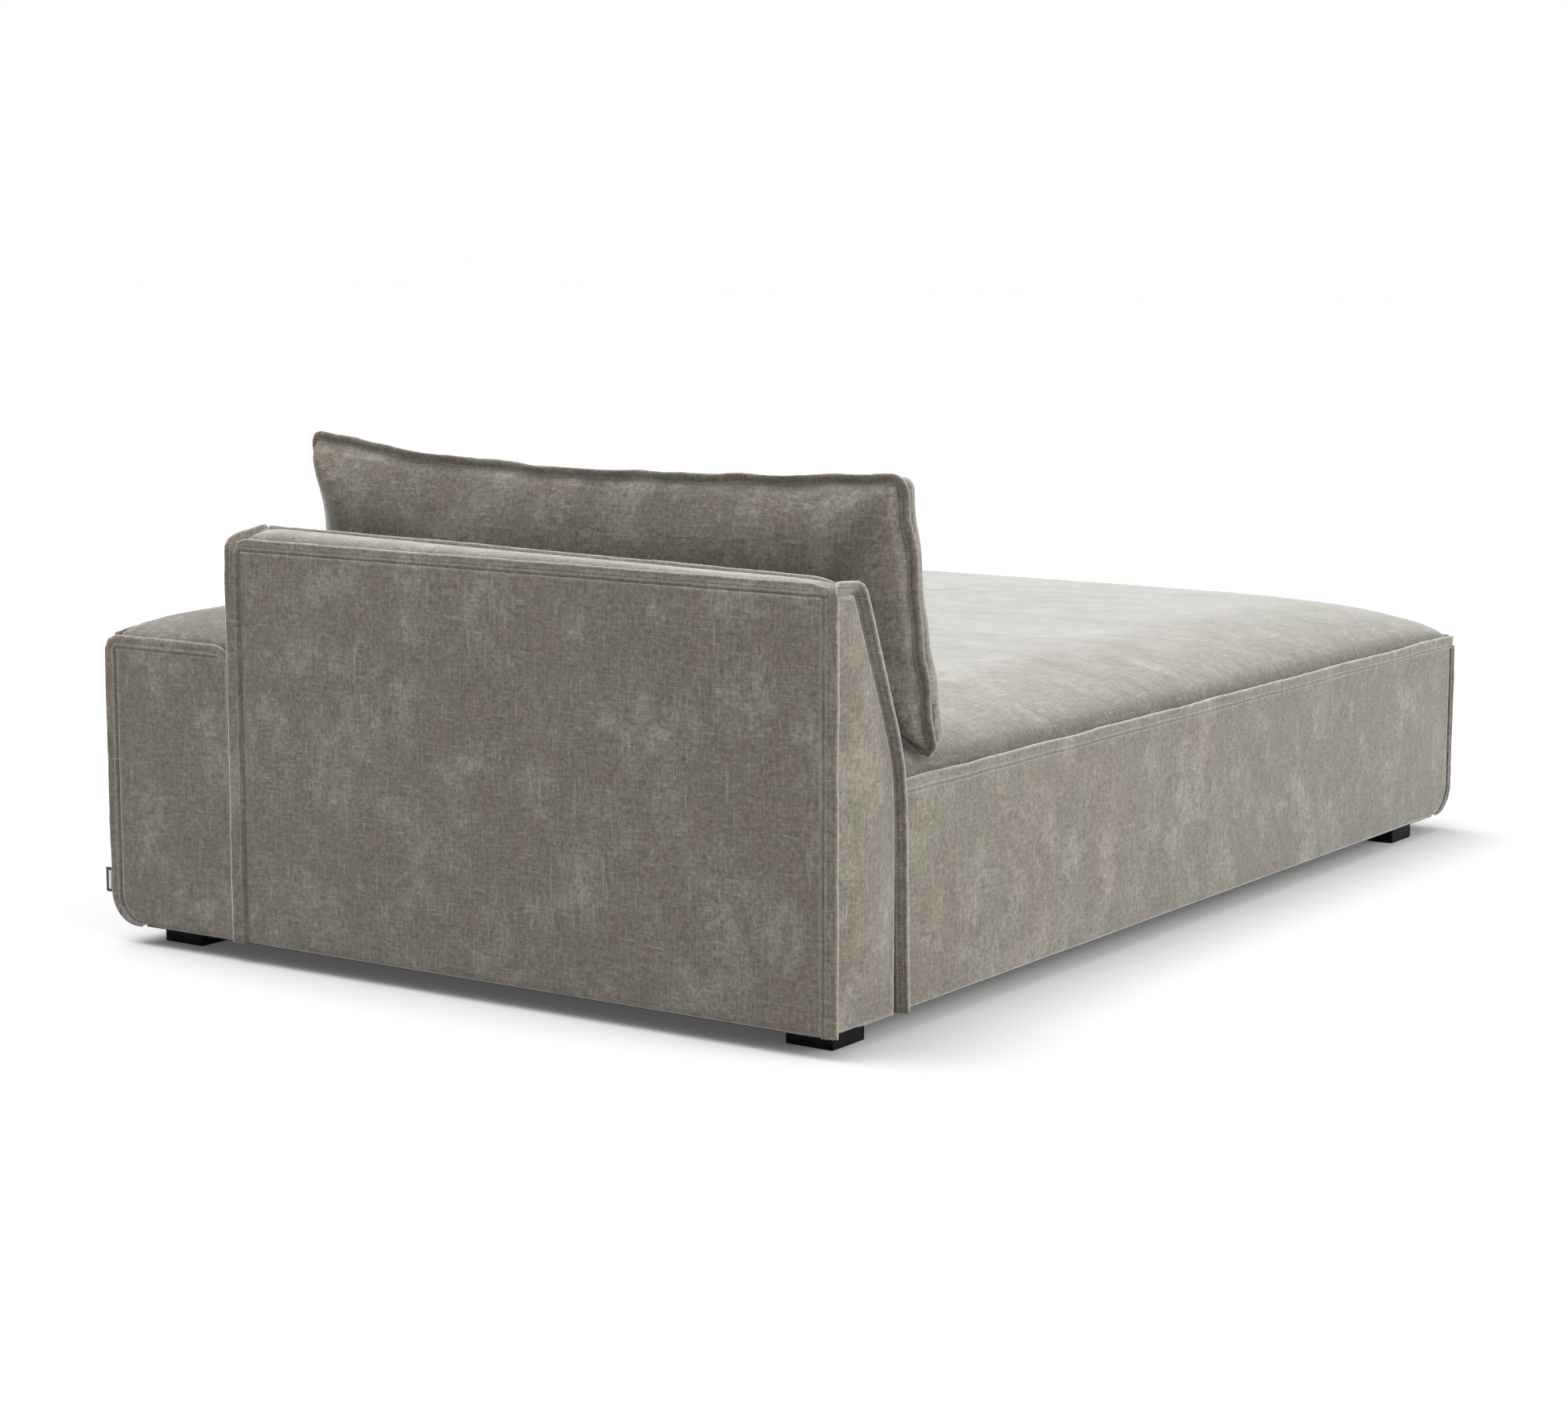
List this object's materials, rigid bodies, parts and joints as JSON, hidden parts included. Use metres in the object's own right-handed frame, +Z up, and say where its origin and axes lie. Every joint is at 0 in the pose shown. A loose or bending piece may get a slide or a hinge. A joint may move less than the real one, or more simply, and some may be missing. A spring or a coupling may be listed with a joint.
{
  "type": "daybed",
  "caption": "Upholstered daybed: long padded seat, low arm on one side, wedge-shaped back at one end, loose back cushion, low block feet.",
  "frame": {"origin": "on the floor, under the middle of the whole outline", "axes": "+Z up, +Y from the foot end to the back, +X to the side with the arm"},
  "size_m": [1.384, 2.1, 0.7992],
  "materials": {
    "upholstery": "matte",
    "frame_wood": "matte",
    "hardboard": "matte",
    "foam": "matte",
    "fibre": "matte",
    "webbing": "matte",
    "dust_cover": "matte",
    "zip_tape": "matte",
    "tag": "matte",
    "foot_plastic": "matte",
    "zinc_steel": "satin",
    "zip_metal": "satin"
  },
  "bodies": {
    "frame": {"arm_cover": "upholstery", "arm_dust_cover": "dust_cover", "arm_foam": "foam", "arm_foot_block": "frame_wood", "arm_front_board": "frame_wood", "arm_inner_board": "frame_wood", "arm_outer_board": "frame_wood", "arm_rear_board": "frame_wood", "arm_top_board": "frame_wood", "back_bottom_rail": "frame_wood", "back_cover": "upholstery", "back_dust_cover": "dust_cover", "back_foam": "foam", "back_foot_block": "frame_wood", "back_post_arm": "frame_wood", "back_post_free": "frame_wood", "back_post_middle": "frame_wood", "back_rear_panel": "hardboard", "back_top_rail": "frame_wood", "foot_centre": "foot_plastic", "foot_front_arm": "foot_plastic", "foot_front_free": "foot_plastic", "foot_rear_arm": "foot_plastic", "foot_rear_free": "foot_plastic", "joining_plate_arm": "zinc_steel", "joining_plate_back_1": "zinc_steel", "joining_plate_back_2": "zinc_steel", "screw_arm_1": "zinc_steel", "screw_arm_2": "zinc_steel", "screw_back_1_1": "zinc_steel", "screw_back_1_2": "zinc_steel", "screw_back_2_1": "zinc_steel", "screw_back_2_2": "zinc_steel", "seat_arm_side_rail": "frame_wood", "seat_cover": "upholstery", "seat_cross_rail_front": "frame_wood", "seat_cross_rail_rear": "frame_wood", "seat_dust_cover": "dust_cover", "seat_foam": "foam", "seat_foot_block_arm": "frame_wood", "seat_foot_block_free": "frame_wood", "seat_free_side_rail": "frame_wood", "seat_front_rail": "frame_wood", "seat_middle_rail": "frame_wood", "seat_notch_side_rail": "frame_wood", "seat_rear_rail": "frame_wood", "seat_topper": "fibre", "seat_webbing_1": "webbing", "seat_webbing_2": "webbing", "seat_webbing_3": "webbing", "seat_webbing_4": "webbing", "seat_webbing_5": "webbing", "seat_webbing_6": "webbing", "seat_webbing_7": "webbing", "side_tag": "tag"},
    "cushion": {"cushion_cover": "upholstery", "cushion_filling": "fibre", "zip_tape": "zip_tape"},
    "zip_slider": {"zip_slider": "zip_metal"}
  },
  "joints": [
    {"name": "cushion_lift", "type": "slide", "parent": "frame", "child": "cushion", "axis": [0, 0, 1], "range_m": [0, 0.45]},
    {"name": "zip_slide", "type": "slide", "parent": "cushion", "child": "zip_slider", "axis": [1, 0, 0], "range_m": [0, 0.78]}
  ]
}
